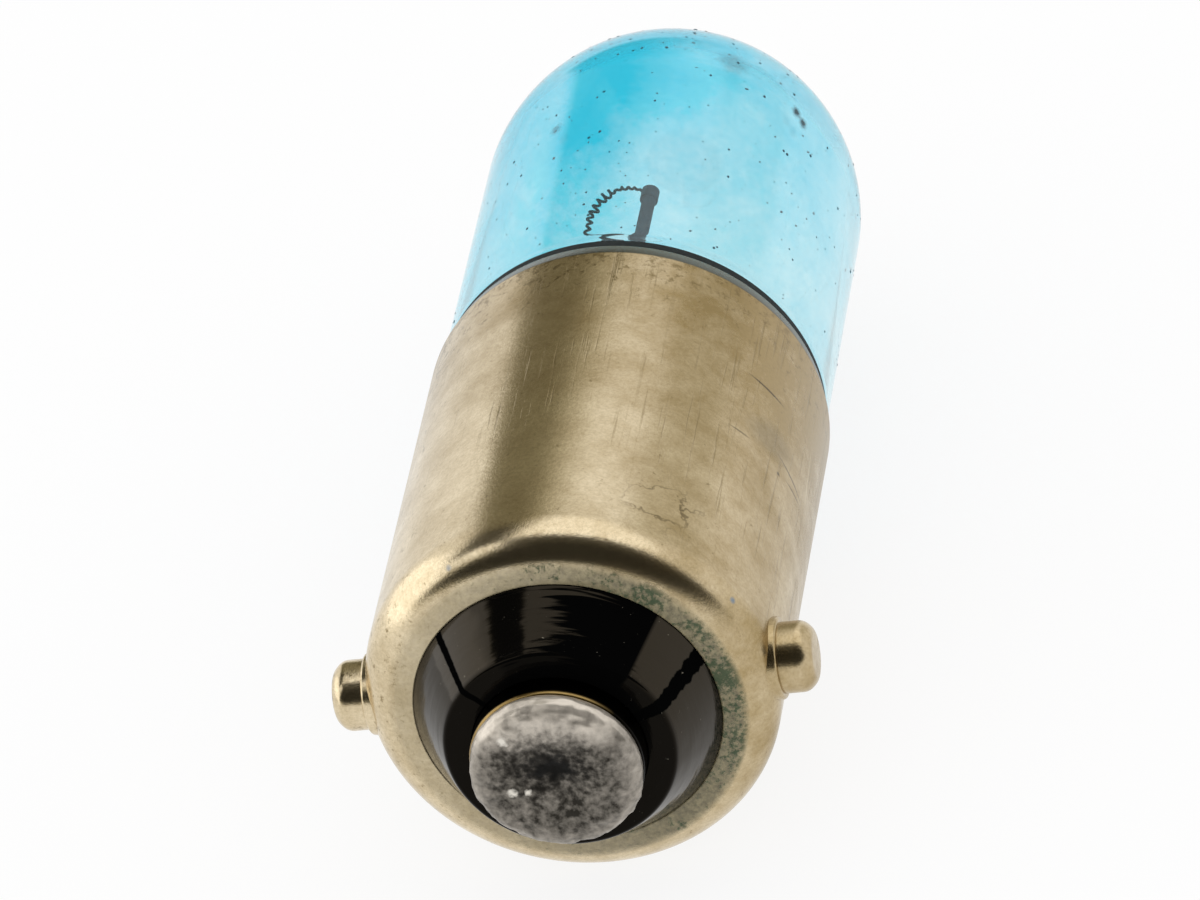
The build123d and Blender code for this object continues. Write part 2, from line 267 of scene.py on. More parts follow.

# %% [markdown]
# ## Black moulded glass
# The end of the cap is filled with an opaque black glass, pressed while hot. It is very glossy, but the press has left
# fine rings round it, so what it mirrors is broken into level streaks. The bump is therefore stretched round the cone.
# Soot and flux have dulled the flat land round the contact, which mirrors next to nothing. On the cone, level streaks
# and a thin run on the left are painted dark reflection, and a ragged run on the right is soot. These patches are
# rough as well as dark, so they show under any light.

# %% Black glass finish
black_glass, tree, shader, mm = finish_named("black_moulded_glass")
x, y, z = add(tree, "ShaderNodeSeparateXYZ", {"Vector": mm}).outputs
wall = add(tree, "ShaderNodeUVMap", uv_map="wall_mm")
rings = add(tree, "ShaderNodeMapping", {"Vector": wall, "Scale": (0.45, 5.0, 1.0)})
rings = add(tree, "ShaderNodeTexNoise", {"Vector": rings, "Scale": 1.0, "Detail": 3.0, "Roughness": 0.5})
flow = add(tree, "ShaderNodeTexNoise", {"Vector": mm, "Scale": 0.9, "Detail": 2.0, "Roughness": 0.4})
height = add(tree, "ShaderNodeMath", {0: rings, 1: 0.22, 2: flow}, operation="MULTIPLY_ADD")
skin = add(tree, "ShaderNodeBump", {"Height": height, "Strength": 1.0, "Distance": 0.00003})
dust = add(tree, "ShaderNodeTexNoise", {"Vector": mm, "Scale": 9.0, "Detail": 3.0, "Roughness": 0.7})
dust = add(tree, "ShaderNodeMapRange", {"Value": dust, "From Min": 0.70, "From Max": 0.78})
shade = add(tree, "ShaderNodeMix", {"Factor": dust, "A": "#050505", "B": "#7C766A"}, data_type="RGBA")
shine = add(tree, "ShaderNodeMapRange", {
    "Value": y, "From Min": -CONE_HEIGHT + 0.12, "From Max": -CONE_HEIGHT, "To Min": 0.30, "To Max": 0.05})
# painted dark reflection: level streaks that close up from the top to the right
streaks = add(tree, "ShaderNodeMapping", {"Vector": wall, "Scale": (0.22, 5.6, 1.0)})
streaks = add(tree, "ShaderNodeTexNoise", {"Vector": streaks, "Scale": 1.0, "Detail": 3.0, "Roughness": 0.5})
turn = add(tree, "ShaderNodeMath", {0: x, 1: z}, operation="ARCTAN2")
close_up = add(tree, "ShaderNodeMapRange", {
    "Value": turn, "From Min": 0.0, "From Max": 0.58, "To Min": -0.12, "To Max": 0.22})
painted_dark = add(tree, "ShaderNodeMath", {0: streaks, 1: close_up}, operation="ADD")
painted_dark = add(tree, "ShaderNodeMapRange", {"Value": painted_dark, "From Min": 0.45, "From Max": 0.52, "To Min": 0.40})
for start, end in ((0.83, 0.80), (-0.40, -0.30)):
    limit = add(tree, "ShaderNodeMapRange", {"Value": turn, "From Min": start, "From Max": end})
    painted_dark = add(tree, "ShaderNodeMath", {0: painted_dark, 1: limit}, operation="MULTIPLY")
# two narrow runs down the cone: a thin one on the left, a painted dark reflection, and a ragged one of soot on the
# right
for middle, half, uneven in ((-0.80, 0.025, 0.02), (1.21, 0.06, 0.06)):
    off = add(tree, "ShaderNodeMath", {0: streaks, 1: uneven, 2: turn}, operation="MULTIPLY_ADD")
    off = add(tree, "ShaderNodeMath", {0: off, 1: middle + uneven / 2}, operation="SUBTRACT")
    off = add(tree, "ShaderNodeMath", {0: off}, operation="ABSOLUTE")
    run = add(tree, "ShaderNodeMapRange", {"Value": off, "From Min": half + 0.012, "From Max": half})
    painted_dark = add(tree, "ShaderNodeMath", {0: painted_dark, 1: run}, operation="MAXIMUM")
bare = add(tree, "ShaderNodeMath", {0: 1.0, 1: painted_dark}, operation="SUBTRACT")
shine = add(tree, "ShaderNodeMath", {0: shine, 1: bare}, operation="MULTIPLY")
matt = add(tree, "ShaderNodeMapRange", {
    "Value": painted_dark, "From Min": 0.6, "From Max": 1.0, "To Min": 0.10, "To Max": 0.85})
feed(tree, shader, {"Base Color": shade, "Normal": skin, "Specular IOR Level": shine, "Roughness": matt})
feed(tree, shader, {"Specular Tint": "#FFE9C6", "IOR": 1.6})
print("made", black_glass.name)

# %% [markdown]
# ## Bare brass and solder
# The contact disc is bare brass, and only its edge shows, as a thin tan line; its side and its right part are
# painted near black as shade. The dome on it is soft solder. Solder freezes in small crystals of lead and tin, so it
# looks mottled. Its rim and its top are painted lighter as a highlight, a few bare crystals carry painted glints, and
# its sunken middle is painted dark as shade.

# %% Bare brass finish
bare_brass, tree, shader, mm = finish_named("bare_brass")
stain = add(tree, "ShaderNodeTexNoise", {"Vector": mm, "Scale": 2.2, "Detail": 5.0, "Roughness": 0.6})
shade = add(tree, "ShaderNodeMix", {"Factor": stain, "A": "#6E5A34", "B": "#B79A62"}, data_type="RGBA")
x, y, _ = add(tree, "ShaderNodeSeparateXYZ", {"Vector": mm}).outputs
# painted shade: the side of the disc and its right part are darkened to near black
painted_dark = add(tree, "ShaderNodeMapRange", {"Value": y, "From Min": CONTACT_FRONT + 0.06, "From Max": CONTACT_FRONT + 0.14})
right = add(tree, "ShaderNodeMapRange", {"Value": x, "From Min": 0.8, "From Max": 1.5})
painted_dark = add(tree, "ShaderNodeMath", {0: painted_dark, 1: right}, operation="MAXIMUM")
shade = add(tree, "ShaderNodeMix", {"Factor": painted_dark, "A": shade, "B": "#0B0906"}, data_type="RGBA")
feed(tree, shader, {"Base Color": shade, "Metallic": 1.0, "Roughness": 0.28})
print("made", bare_brass.name)

# %% Soft solder finish
solder, tree, shader, mm = finish_named("soft_solder")
x, _, z = add(tree, "ShaderNodeSeparateXYZ", {"Vector": mm}).outputs
across = add(tree, "ShaderNodeCombineXYZ", {"X": x, "Z": z})
radius = add(tree, "ShaderNodeVectorMath", {0: across}, operation="LENGTH")
# crystals of about 0.17 mm in clouds of about 0.6 mm
grain = add(tree, "ShaderNodeTexNoise", {"Vector": mm, "Scale": 6.0, "Detail": 3.0, "Roughness": 0.55})
cloud = add(tree, "ShaderNodeTexNoise", {"Vector": mm, "Scale": 1.6, "Detail": 3.0, "Roughness": 0.5})
mottle_and_highlight = add(tree, "ShaderNodeMapRange", {"Value": grain, "To Min": 0.16, "To Max": 0.84})
mottle_and_highlight = add(tree, "ShaderNodeMath", {0: cloud, 1: 0.6, 2: mottle_and_highlight}, operation="MULTIPLY_ADD")
# painted highlight: lighter towards the rim and on the top
rim_highlight = add(tree, "ShaderNodeMapRange", {"Value": radius, "From Min": 1.35, "From Max": 1.82, "To Max": 0.28})
upper = add(tree, "ShaderNodeMapRange", {"Value": z, "From Min": 0.7, "From Max": 1.3, "To Max": 0.48})
for more in (rim_highlight, upper):
    mottle_and_highlight = add(tree, "ShaderNodeMath", {0: mottle_and_highlight, 1: more}, operation="ADD")
mottle_and_highlight = add(tree, "ShaderNodeMapRange", {"Value": mottle_and_highlight, "From Min": 0.67, "From Max": 1.56})
shade = add(tree, "ShaderNodeMix", {"Factor": mottle_and_highlight, "A": "#2B2822", "B": "#D8CFC2"}, data_type="RGBA")
# painted shade in the sunken middle: a grey pool with a black core
for centre, radii, depth, colour in (
    ((-0.12, -2.45, 0.34), (1.12, 1.0, 0.84), 0.84, "#211E1A"),
    ((0.0, -2.45, 0.28), (0.70, 1.0, 0.40), 0.97, "#070604"),
):
    pit_shade = mark_at(tree, mm, centre, radii, grain)
    pit_shade = add(tree, "ShaderNodeMath", {0: pit_shade, 1: depth}, operation="MULTIPLY")
    shade = add(tree, "ShaderNodeMix", {"Factor": pit_shade, "A": shade, "B": colour}, data_type="RGBA")
# painted glints: a few light spots where bare crystals shine
chip = add(tree, "ShaderNodeTexNoise", {"Vector": mm, "Scale": 11.0, "Detail": 2.0})
for centre, size in (((-0.95, -2.45, -0.24), 0.12), ((-0.62, -2.45, -0.27), 0.08), ((-0.92, -2.4, 1.10), 0.12)):
    glint = mark_at(tree, mm, centre, (size, 1.0, size), chip)
    shade = add(tree, "ShaderNodeMix", {"Factor": glint, "A": shade, "B": "#E4DED3"}, data_type="RGBA")
relief = add(tree, "ShaderNodeBump", {"Height": mottle_and_highlight, "Strength": 0.5, "Distance": 0.00003})
feed(tree, shader, {"Base Color": shade, "Normal": relief, "Roughness": 0.44, "Metallic": 0.85})
print("made", solder.name)

# %% [markdown]
# ## Blue glass
# The tube is clear soda glass that was dipped in a thin blue lacquer. Light crosses four skins on its way through
# the bulb, so a pale tint at each crossing adds up to a clear sky blue. The lacquer ran before it dried and is thin
# near the cap, and a broad deep streak along the top is a painted reflection. Its film is slightly milky, so a small
# share of the light is scattered instead of passing straight through. A few old marks sit on it.

# %% Blue glass finish
blue_glass, tree, shader, mm = finish_named("blue_lacquered_glass")
x, y, z = add(tree, "ShaderNodeSeparateXYZ", {"Vector": mm}).outputs
run = add(tree, "ShaderNodeTexNoise", {
    "Vector": mm, "Scale": 0.42, "Detail": 9.0, "Roughness": 0.66, "Distortion": 0.6})
fine = add(tree, "ShaderNodeTexNoise", {"Vector": mm, "Scale": 4.0, "Detail": 4.0, "Roughness": 0.65})
spread = add(tree, "ShaderNodeMapRange", {
    "Value": run, "From Min": 0.30, "From Max": 0.70, "To Min": -0.26, "To Max": 0.18})
thick = add(tree, "ShaderNodeMapRange", {
    "Value": y, "From Min": 12.5, "From Max": 23.0, "To Min": 0.04, "To Max": 0.72})
top = add(tree, "ShaderNodeMapRange", {"Value": z, "From Min": -1.0, "From Max": 1.0})
# painted reflection: a broad deep streak along the top, a little left of the middle
edge = add(tree, "ShaderNodeMapRange", {
    "Value": x, "From Min": -1.95, "From Max": -1.40}, interpolation_type="SMOOTHSTEP")
fade = add(tree, "ShaderNodeMapRange", {"Value": x, "From Min": 3.3, "From Max": -1.2}, interpolation_type="SMOOTHSTEP")
tall = add(tree, "ShaderNodeMapRange", {"Value": y, "From Min": 12.0, "From Max": 16.5, "To Min": 0.22, "To Max": 0.58})
reflection_streak = edge
for part in (fade, tall, top):
    reflection_streak = add(tree, "ShaderNodeMath", {0: reflection_streak, 1: part}, operation="MULTIPLY")
finer = add(tree, "ShaderNodeMapRange", {
    "Value": fine, "From Min": 0.30, "From Max": 0.70, "To Min": -0.09, "To Max": 0.09})
left = add(tree, "ShaderNodeMapRange", {"Value": x, "From Min": -1.2, "From Max": -3.4, "To Max": 0.34})
coat = thick
for more in (spread, finer, reflection_streak, left):
    coat = add(tree, "ShaderNodeMath", {0: coat, 1: more}, operation="ADD")
slant = add(tree, "ShaderNodeLayerWeight", {"Blend": 0.5})
slant = add(tree, "ShaderNodeMath", {0: slant.outputs["Facing"], 1: 3.0}, operation="POWER")
coat = add(tree, "ShaderNodeMath", {0: slant, 1: 0.55, 2: coat}, operation="MULTIPLY_ADD", use_clamp=True)
tint = add(tree, "ShaderNodeMix", {"Factor": coat, "A": "#D8F6FA", "B": "#28CBEA"}, data_type="RGBA")
# only the outer skin is coated: a point belongs to it when it lies far enough from the axis or from the dome's middle
above = add(tree, "ShaderNodeMath", {0: y, 1: DOME_HEIGHT}, operation="SUBTRACT")
above = add(tree, "ShaderNodeMath", {0: above, 1: 0.0}, operation="MAXIMUM")
over = add(tree, "ShaderNodeCombineXYZ", {"X": x, "Y": above, "Z": z})
over = add(tree, "ShaderNodeVectorMath", {0: over}, operation="LENGTH")
outer = add(tree, "ShaderNodeMath", {0: over, 1: GLASS_RADIUS - GLASS_WALL / 2}, operation="GREATER_THAN")
tint = add(tree, "ShaderNodeMix", {"Factor": outer, "A": "#FCFEFE", "B": tint}, data_type="RGBA")
clear = add(tree, "ShaderNodeMapRange", {
    "Value": run, "From Min": 0.35, "From Max": 0.65, "To Min": 1.0, "To Max": 0.975})
for centre, radii, depth in (
    ((3.49, 19.46, 2.69), (0.14, 0.22, 0.14), 1.0),
    ((3.63, 19.23, 2.51), (0.14, 0.20, 0.14), 1.0),
    ((2.16, 20.06, 3.85), (0.42, 0.38, 0.42), 0.5),
    ((-1.71, 17.47, 4.08), (0.16, 0.20, 0.16), 0.6),
):
    mark = mark_at(tree, mm, centre, radii, fine)
    mark = add(tree, "ShaderNodeMath", {0: mark, 1: depth}, operation="MULTIPLY")
    tint = add(tree, "ShaderNodeMix", {"Factor": mark, "A": tint, "B": "#123A44"}, data_type="RGBA")
    opaque = add(tree, "ShaderNodeMath", {0: mark, 1: -0.8, 2: 1.0}, operation="MULTIPLY_ADD")
    clear = add(tree, "ShaderNodeMath", {0: clear, 1: opaque}, operation="MULTIPLY")
feed(tree, shader, {"Base Color": tint, "Transmission Weight": clear})
feed(tree, shader, {"IOR": 1.5, "Specular IOR Level": 0.22, "Roughness": 0.01})
print("made", blue_glass.name, "with", len(tree.nodes), "nodes")

# %% [markdown]
# ## The small inner finishes
# The leads are plated iron wire, dulled by the heat of sealing. The filament is tungsten, which stays dark grey. The
# bead is a clear sealing glass, and bends light too little to be seen in the tube. The cement is a baked resin filled
# with stone flour, nearly black, and its ring round the glass is painted shade. The specks are dried dots of lacquer.

# %% Lead wire, tungsten, cement, bead glass and specks
def simple_finish(name, dark, light, grain_mm, settings):
    """A finish that varies between two colours with grains of a stated size. The settings go to the shader."""
    made, tree, shader, mm = finish_named(name)
    grain = add(tree, "ShaderNodeTexNoise", {"Vector": mm, "Scale": 1 / grain_mm, "Detail": 4.0, "Roughness": 0.6})
    grain = add(tree, "ShaderNodeMapRange", {"Value": grain, "From Min": 0.3, "From Max": 0.7})
    shade = add(tree, "ShaderNodeMix", {"Factor": grain, "A": dark, "B": light}, data_type="RGBA")
    bump = add(tree, "ShaderNodeBump", {"Height": grain, "Strength": 0.4, "Distance": 0.00003})
    feed(tree, shader, {"Base Color": shade, "Normal": bump, **settings})
    print("made", name)
    return made


dull_wire = {"Roughness": 0.6, "Specular IOR Level": 0.1}
dull_coil = {"Roughness": 0.5, "Specular IOR Level": 0.1}
clear_bead = {"Roughness": 0.02, "Transmission Weight": 1.0, "IOR": 1.08}
lead_metal = simple_finish("oxidised_iron_wire", "#08121B", "#1C2B38", 0.2, dull_wire)
tungsten = simple_finish("tungsten_wire", "#060C12", "#141C25", 0.1, dull_coil)
cement = simple_finish("baked_resin_cement", "#0A1213", "#172426", 0.12, {"Roughness": 0.85})
lacquer = simple_finish("dried_lacquer", "#0E3A48", "#1F5B6C", 0.1, {"Roughness": 0.5})
bead_glass = simple_finish("clear_sealing_glass", "#F4FAFB", "#FCFEFE", 0.8, clear_bead)

# %% [markdown]
# ## Turning a profile
# Nearly every part here was turned, drawn or blown, so it is round. A lathe needs only a profile. The profile is a
# list of corners, each a radius, a height and a rounding, and a helper turns the roundings into short arcs. Faces must
# point out of the material, so the volume that they enclose is added up, and if it comes out negative they are all
# turned over. That is right for hollow parts too, where recalculated normals would turn the inner wall round.

# %% Profile and lathe helpers
def rounded(corners, closed=True, steps=8):
    """A profile through corners of (radius, height, rounding), with each rounding drawn as an arc."""
    out = []
    count = len(corners)
    for i, (r, h, bend) in enumerate(corners):
        here = Vector((r, h))
        if bend == 0 or (not closed and i in (0, count - 1)):
            out.append((r, h))
            continue
        before = (Vector(corners[i - 1][:2]) - here).normalized()
        after = (Vector(corners[(i + 1) % count][:2]) - here).normalized()
        half = before.angle(after) / 2
        centre = here + (before + after).normalized() * (bend / math.sin(half))
        start = here + before * (bend / math.tan(half)) - centre
        sweep = math.pi - 2 * half
        way = 1 if start.y * before.x - start.x * before.y > 0 else -1
        number = max(2, round(steps * sweep / (math.pi / 2) * (1 + bend)))
        for k in range(number + 1):
            out.append(tuple(centre + Matrix.Rotation(way * sweep * k / number, 2) @ start))
    return out


def along_bulb(r, h, angle):
    """A point on a circle round the bulb's axis. Angle 0 is underneath, so that the map's seam is out of sight."""
    return Vector((-r * math.sin(angle), END_Y + h, AXIS_Z - r * math.cos(angle))) * MM


def along_pin(way):
    """The same round a side pin's axis; way is 1 for the right pin and -1 for the left one."""
    def point(r, h, angle):
        return Vector((way * h, END_Y + PIN_HEIGHT + r * math.sin(angle), AXIS_Z + way * r * math.cos(angle))) * MM
    return point


def turned(name, profile, segments, place, material, closed=True, into=None):
    """A round mesh from a profile, with a map in millimetres round and along its wall."""
    mesh_in = into or bmesh.new()
    layer = mesh_in.loops.layers.uv.get("wall_mm") or mesh_in.loops.layers.uv.new("wall_mm")
    widest = max(r for r, _ in profile)
    rings = []
    for r, h in profile:
        if r < 1e-6:
            rings.append([mesh_in.verts.new(place(0, h, 0))] * (segments + 1))
        else:
            ring = [mesh_in.verts.new(place(r, h, 2 * math.pi * k / segments)) for k in range(segments)]
            rings.append(ring + ring[:1])
    along = [0.0]
    for (r0, h0), (r1, h1) in zip(profile, profile[1:] + profile[:1]):
        along.append(along[-1] + math.hypot(r1 - r0, h1 - h0))
    made = []
    for i in range(len(profile) if closed else len(profile) - 1):
        a, b = rings[i], rings[(i + 1) % len(profile)]
        for k in range(segments):
            corners = [(a[k], k, i), (b[k], k, i + 1), (b[k + 1], k + 1, i + 1), (a[k + 1], k + 1, i)]
            unique = [c for n, c in enumerate(corners) if c[0] not in [d[0] for d in corners[:n]]]
            if len(unique) < 3:
                continue
            face = mesh_in.faces.new([c[0] for c in unique])
            face.smooth = True
            made.append(face)
            for loop, (_, turn, row) in zip(face.loops, unique):
                loop[layer].uv = (turn / segments * 2 * math.pi * widest, along[row])
    for face in made:
        face.normal_update()
    if sum(face.calc_area() * face.normal.dot(face.calc_center_median()) for face in made) < 0:
        bmesh.ops.reverse_faces(mesh_in, faces=made)
    if into:
        return into
    return as_piece(name, mesh_in, material)


def as_piece(name, mesh_in, material, sharp=40):
    """The finished object of a mesh: at the origin, smooth but for its sharp edges, with its finish."""
    mesh = bpy.data.meshes.new(name)
    mesh_in.to_mesh(mesh)
    volume = mesh_in.calc_volume(signed=True) * 1e9
    mesh_in.free()
    mesh.set_sharp_from_angle(angle=math.radians(sharp))
    mesh.materials.append(material)
    piece = bpy.data.objects.new(name, mesh)
    bpy.context.collection.objects.link(piece)
    print(name, len(mesh.polygons), "faces, volume", round(volume, 3), "mm3")
    return piece


# %% [markdown]
# ## The cap
# The cap is a cup drawn from sheet, so it has one thickness everywhere, a soft shoulder at the closed end and a lip
# that was turned in to hold the glass. A low collar was pressed up round each pin. The collars are turned about
# the pins' own axis and joined to the same mesh, because they are the same sheet.

# %% Cap with its collars
ROUND_CAP = 256
ROUND_PIN = 96
LIP_BEND = 0.3
COLLAR_FOOT = 0.95
COLLAR_RADIUS = 0.90
COLLAR_EDGE = 0.08
COLLAR_BORE = PIN_RADIUS - 0.1
COLLAR_BASE = COLLAR_TOP - 0.3
cap_profile = rounded([
    (CAP_BORE - LIP_TURN_IN, CAP_LENGTH, 0.03),
    (CAP_BORE, LIP_START, LIP_BEND),
    (CAP_BORE, CAP_WALL, SHOULDER - CAP_WALL),
    (OPENING, CAP_WALL, 0),
    (OPENING, 0, 0.05),
    (CAP_RADIUS, 0, SHOULDER),
    (CAP_RADIUS, LIP_START, LIP_BEND),
    (CAP_RADIUS - LIP_TURN_IN, CAP_LENGTH, 0.05),
])
collar_profile = rounded([
    (COLLAR_BORE, COLLAR_BASE, 0),
    (COLLAR_FOOT, COLLAR_BASE, 0),
    (COLLAR_RADIUS, COLLAR_TOP, COLLAR_EDGE),
    (COLLAR_BORE, COLLAR_TOP, 0),
])
cap_mesh = turned("cap", cap_profile, ROUND_CAP, along_bulb, plated, into=bmesh.new())
for way in (1, -1):
    turned("collar", collar_profile, ROUND_PIN, along_pin(way), plated, into=cap_mesh)
cap = as_piece("plated_cap", cap_mesh, plated)

# %% [markdown]
# ## Side pins
# Each pin is a short solid rivet. Its end has a chamfer with softened edges, which catches the light.

# %% Pins
PIN_CHAMFER = 0.22
PIN_EDGE = 0.30
PIN_BASE = COLLAR_TOP - 0.4
pin_profile = rounded([
    (0, PIN_BASE, 0),
    (PIN_RADIUS, PIN_BASE, 0),
    (PIN_RADIUS, PIN_END - PIN_CHAMFER, PIN_EDGE),
    (PIN_RADIUS - PIN_CHAMFER, PIN_END, PIN_EDGE),
    (0, PIN_END, 0),
], closed=False)
pins = []
for name, way in (("right_pin", 1), ("left_pin", -1)):
    pins.append(turned(name, pin_profile, ROUND_PIN, along_pin(way), plated, closed=False))

# %% [markdown]
# ## Black glass end and its contact
# The black glass stands out of the cap as a blunt cone. A brass disc is let into its flat top, and the solder dome
# covers the disc but for its rim.

# %% Insulator and contact disc
ROUND_GLASS = 192
ROUND_CONTACT = 160
LEAD_BORE = 0.42
DISC_BACK = -1.10
INSULATOR_TOP = 2.7
insulator = turned("black_glass_end", rounded([
    (LEAD_BORE, INSULATOR_TOP, 0),
    (LEAD_BORE, DISC_BACK, 0),
    (CONTACT_RADIUS, DISC_BACK, 0),
    (CONTACT_RADIUS, -CONE_HEIGHT, 0.03),
    (CONE_FOOT, -CONE_HEIGHT, 0.12),
    (OPENING, 0.0, 0.02),
    (OPENING, CAP_WALL, 0),
    (CAP_BORE, CAP_WALL, SHOULDER - CAP_WALL),
    (CAP_BORE, INSULATOR_TOP, 0),
]), ROUND_GLASS, along_bulb, black_glass)
disc = turned("contact_disc", rounded([
    (LEAD_BORE, DISC_BACK, 0),
    (LEAD_BORE, CONTACT_FRONT, 0),
    (CONTACT_RADIUS, CONTACT_FRONT, 0.10),
    (CONTACT_RADIUS, DISC_BACK, 0),
]), ROUND_CONTACT, along_bulb, bare_brass)

# %% [markdown]
# The solder is not a perfect dome. Its surface is moved in and out a few hundredths of a millimetre by a smooth
# noise, which gives the soft lumps that it froze with.

# %% Solder dome
def lumpy(piece, size_mm, depth_mm, keep):
    """Moves a piece's points along their normals by a smooth noise. keep says how much each point may move."""
    moved = []
    for vertex in piece.data.vertices:
        lump = noise.fractal(vertex.co / (size_mm * MM), 0.8, 2.0, 3)
        moved.append(vertex.normal * depth_mm * MM * keep(vertex.co) * lump)
    for vertex, step in zip(piece.data.vertices, moved):
        vertex.co += step
    return max(step.length for step in moved) / MM


STEM_RADIUS = 0.40
STEM_END = -1.5
STEPS = 4
LUMP_SIZE = 0.55
LUMP_DEPTH = 0.05
LUMP_FADE = 0.15
dome_corners = [
    (1.87, -1.93), (1.895, -2.02), (1.90, -2.12), (1.86, -2.24), (1.76, -2.35), (1.60, -2.43),
    (1.38, -2.48), (1.10, -2.50), (0.80, -2.485), (0.50, -2.44), (0.25, -2.41),
]
dome_profile = [(0, STEM_END), (STEM_RADIUS, STEM_END), (STEM_RADIUS, dome_corners[0][1])]
for (r0, h0), (r1, h1) in zip(dome_corners, dome_corners[1:]):
    dome_profile += [(r0 + (r1 - r0) * k / STEPS, h0 + (h1 - h0) * k / STEPS) for k in range(STEPS)]
dome_profile += [dome_corners[-1], (0.12, -2.40), (0, -2.40)]
dome = turned("solder_dome", dome_profile, ROUND_CONTACT, along_bulb, solder, closed=False)
front = (END_Y + CONTACT_FRONT) * MM
moved = lumpy(dome, LUMP_SIZE, LUMP_DEPTH, lambda p: min(1.0, max(0.0, (front - p.y) / (LUMP_FADE * MM))))
print("solder moved by up to", round(moved, 3), "mm")

# %% [markdown]
# ## The glass tube
# The tube is one closed piece of glass: the dome, the straight wall, a shoulder over the lip of the cap, a neck in the
# cement and a sealed end. Its outer and inner walls are one profile, so light bends at both of them.

# %% Glass tube
NECK_STEP = 0.80
NECK_RADIUS = GLASS_RADIUS - NECK_STEP
GLASS_BORE = GLASS_RADIUS - GLASS_WALL
GLASS_FOOT = 11.62
TIP_RADIUS = 0.70
TIP_END = 4.55
SEAL_END = 5.60
SEAL_TOP = 6.65
FUNNEL_TOP = 12.62
FUNNEL_LENGTH = 1.3
FUNNEL_STEPS = 14
NECK_TOP = 11.3
ARC_STEPS = 48


def dome_arc(radius):
    """The dome's profile at a radius, from the straight wall up to the axis, without its two ends."""
    quarter = [math.pi / 2 * k / ARC_STEPS for k in range(1, ARC_STEPS)]
    return [(radius * math.cos(a), DOME_HEIGHT + radius * math.sin(a)) for a in quarter]


outside = rounded([
    (0, TIP_END, 0),
    (TIP_RADIUS, TIP_END, 0.6),
    (TIP_RADIUS, SEAL_END, 0),
    (NECK_RADIUS, SEAL_END, 1.42),
    (NECK_RADIUS, GLASS_FOOT, 0.30),
    (GLASS_RADIUS, GLASS_FOOT, 0.50),
    (GLASS_RADIUS, DOME_HEIGHT, 0),
], closed=False)
outside += dome_arc(GLASS_RADIUS) + [(0, GLASS_TOP)]
inside = [(0, GLASS_TOP - GLASS_WALL)] + dome_arc(GLASS_BORE)[::-1] + [(GLASS_BORE, DOME_HEIGHT)]
for t in (k / FUNNEL_STEPS for k in range(FUNNEL_STEPS + 1)):
    inside.append((GLASS_BORE - NECK_STEP * (3 * t * t - 2 * t ** 3), FUNNEL_TOP - FUNNEL_LENGTH * t))
inside += rounded([
    (GLASS_BORE - NECK_STEP, NECK_TOP, 0),
    (GLASS_BORE - NECK_STEP, SEAL_TOP, 1.12),
    (0, SEAL_TOP, 0),
], closed=False)[1:]
tube = turned("glass_tube", outside + inside, ROUND_GLASS, along_bulb, blue_glass, closed=False)

# %% [markdown]
# The cement fills the space between the neck and the cap. It also stands out past the lip as a thin dark ring, a
# ring of painted shade where the glass leaves the lip.

# %% Cement
TOUCH = 0.01
CEMENT_FOOT = 6.60
SHADE_RING_TOP = CAP_LENGTH + 0.26
ring = turned("cement_and_shade_ring", rounded([
    (NECK_RADIUS + TOUCH, CEMENT_FOOT, 0),
    (CAP_BORE - TOUCH, CEMENT_FOOT, 0),
    (CAP_BORE - TOUCH, LIP_START, 0.2),
    (CAP_BORE - LIP_TURN_IN - TOUCH, CAP_LENGTH, 0),
    (CAP_RADIUS - LIP_TURN_IN - 2 * TOUCH, CAP_LENGTH + TOUCH, 0.03),
    # the bead above the lip: a dark ring of painted shade round the glass
    (GLASS_RADIUS + 0.012, SHADE_RING_TOP, 0.02),
    (GLASS_RADIUS - 0.10, SHADE_RING_TOP - 0.04, 0),
    (NECK_RADIUS + 0.30, GLASS_FOOT - 0.02, 0),
    (NECK_RADIUS + TOUCH, NECK_TOP, 0),
]), ROUND_GLASS, along_bulb, cement)

# %% [markdown]
# ## The filament
# The filament is a fine wire wound into a coil, and the coil hangs in an arch between the two leads. That is a rule,
# so Geometry Nodes make it: an arc through three points, points spaced evenly along it, each pushed out to the side by
# an angle that grows along the arc, and a thin round wire drawn through them. The first stretch is nearly straight,
# and a little noise keeps the turns from looking machine made.

# %% Node tree of the coil
def geometry_tree(name, inputs, result):
    """A tree of Geometry Nodes, the outputs of its input node, and what a modifier calls each input."""
    made = bpy.data.node_groups.new(name, "GeometryNodeTree")
    called = {}
    for kind, socket_names in inputs.items():
        for socket in socket_names:
            called[socket] = made.interface.new_socket(socket, in_out="INPUT", socket_type=kind).identifier
    made.interface.new_socket(result, in_out="OUTPUT", socket_type="NodeSocketGeometry")
    return made, add(made, "NodeGroupInput").outputs, called


POINTS_PER_TURN = 12.0
tree, given, sockets = geometry_tree("coil_on_arc", {
    "NodeSocketVector": ("Start", "Middle", "End"),
    "NodeSocketFloat": ("Turns", "Coil Radius", "Wire Radius", "Seed"),
}, "Coil")
arc = add(tree, "GeometryNodeCurveArc", {
    "Start": given["Start"], "Middle": given["Middle"], "End": given["End"], "Resolution": 64}, mode="POINTS")
count = add(tree, "ShaderNodeMath", {0: given["Turns"], 1: POINTS_PER_TURN}, operation="MULTIPLY")
spaced = add(tree, "GeometryNodeResampleCurve", {"Curve": arc, "Count": count})
share = add(tree, "GeometryNodeSplineParameter")
angle = add(tree, "ShaderNodeMath", {0: share, 1: given["Turns"]}, operation="MULTIPLY")
angle = add(tree, "ShaderNodeMath", {0: angle, 1: 2 * math.pi}, operation="MULTIPLY")
ahead = add(tree, "GeometryNodeInputTangent")
sideways = add(tree, "GeometryNodeInputNormal")
